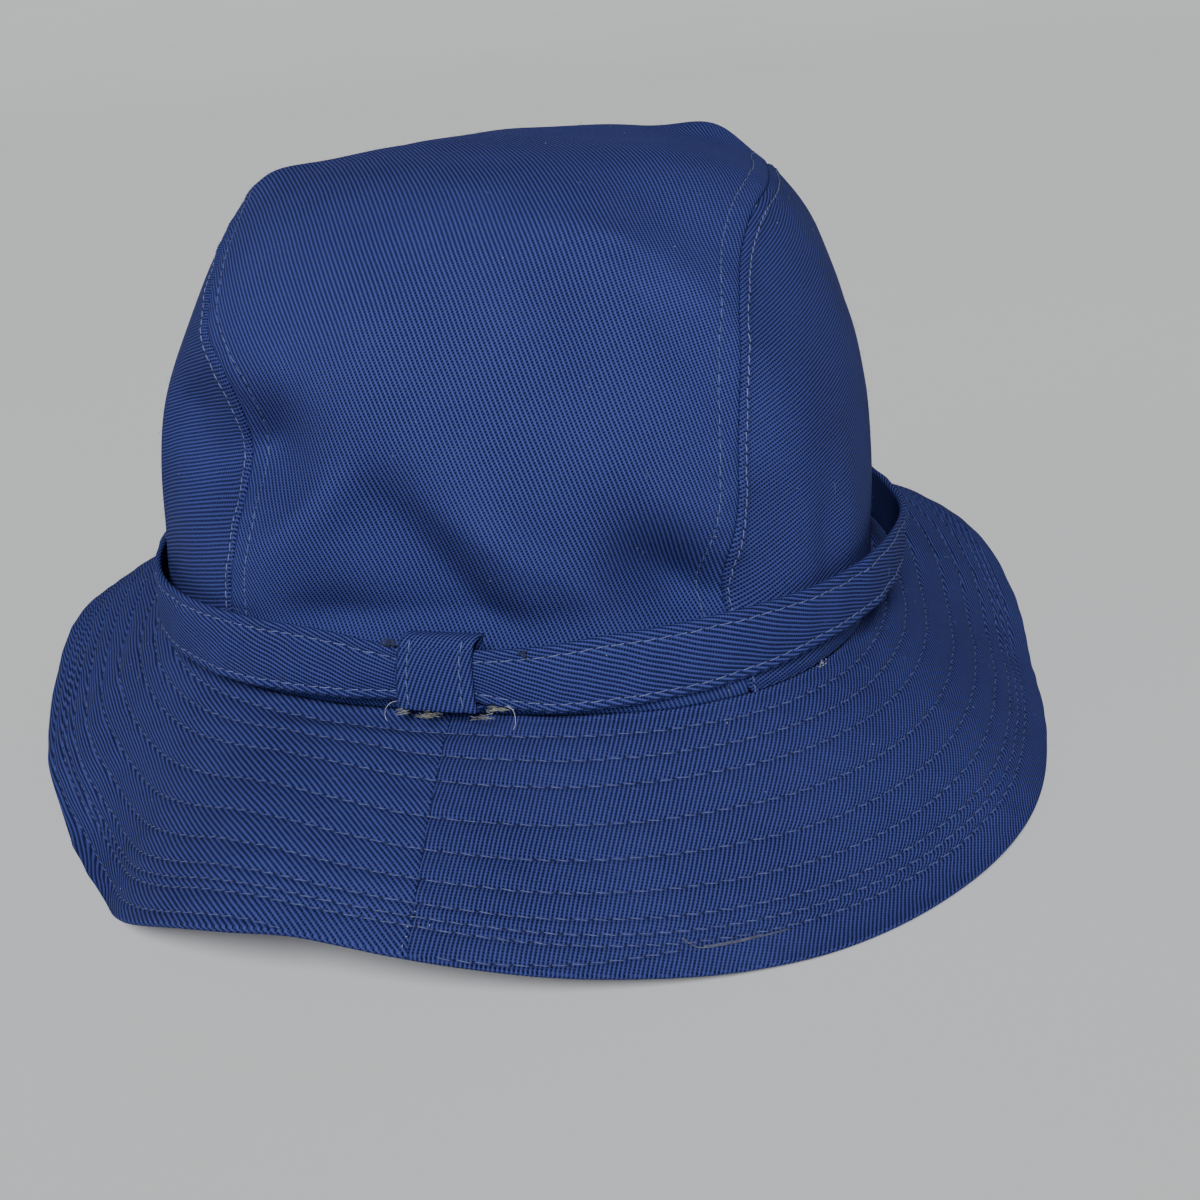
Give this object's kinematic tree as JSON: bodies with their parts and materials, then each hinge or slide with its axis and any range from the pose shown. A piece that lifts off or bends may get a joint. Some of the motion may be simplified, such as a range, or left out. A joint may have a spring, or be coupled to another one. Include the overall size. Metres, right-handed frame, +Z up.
{
  "type": "bucket sun hat",
  "caption": "Soft twill bucket hat: a crown of a centre strip and side panels, a loose band held by a keeper loop, and a drooping brim in halves.",
  "frame": {"origin": "on the surface under the resting hat, at the middle of its box", "axes": "+Z up, -Y towards the hat's back, where the band keeper and the brim's back seam are, +X to the hat's right seen from the back"},
  "size_m": [0.2638, 0.2656, 0.1432],
  "materials": {
    "crown_twill": "matt navy cotton twill",
    "brim_twill": "matt navy cotton twill, stitched in rows",
    "band_twill": "matt navy cotton twill"
  },
  "bodies": {
    "root": {"crown_center": "crown_twill", "crown_side_left": "crown_twill", "crown_side_right": "crown_twill", "brim_left": "brim_twill", "brim_right": "brim_twill", "band": "band_twill", "band_keeper": "band_twill"}
  },
  "joints": []
}
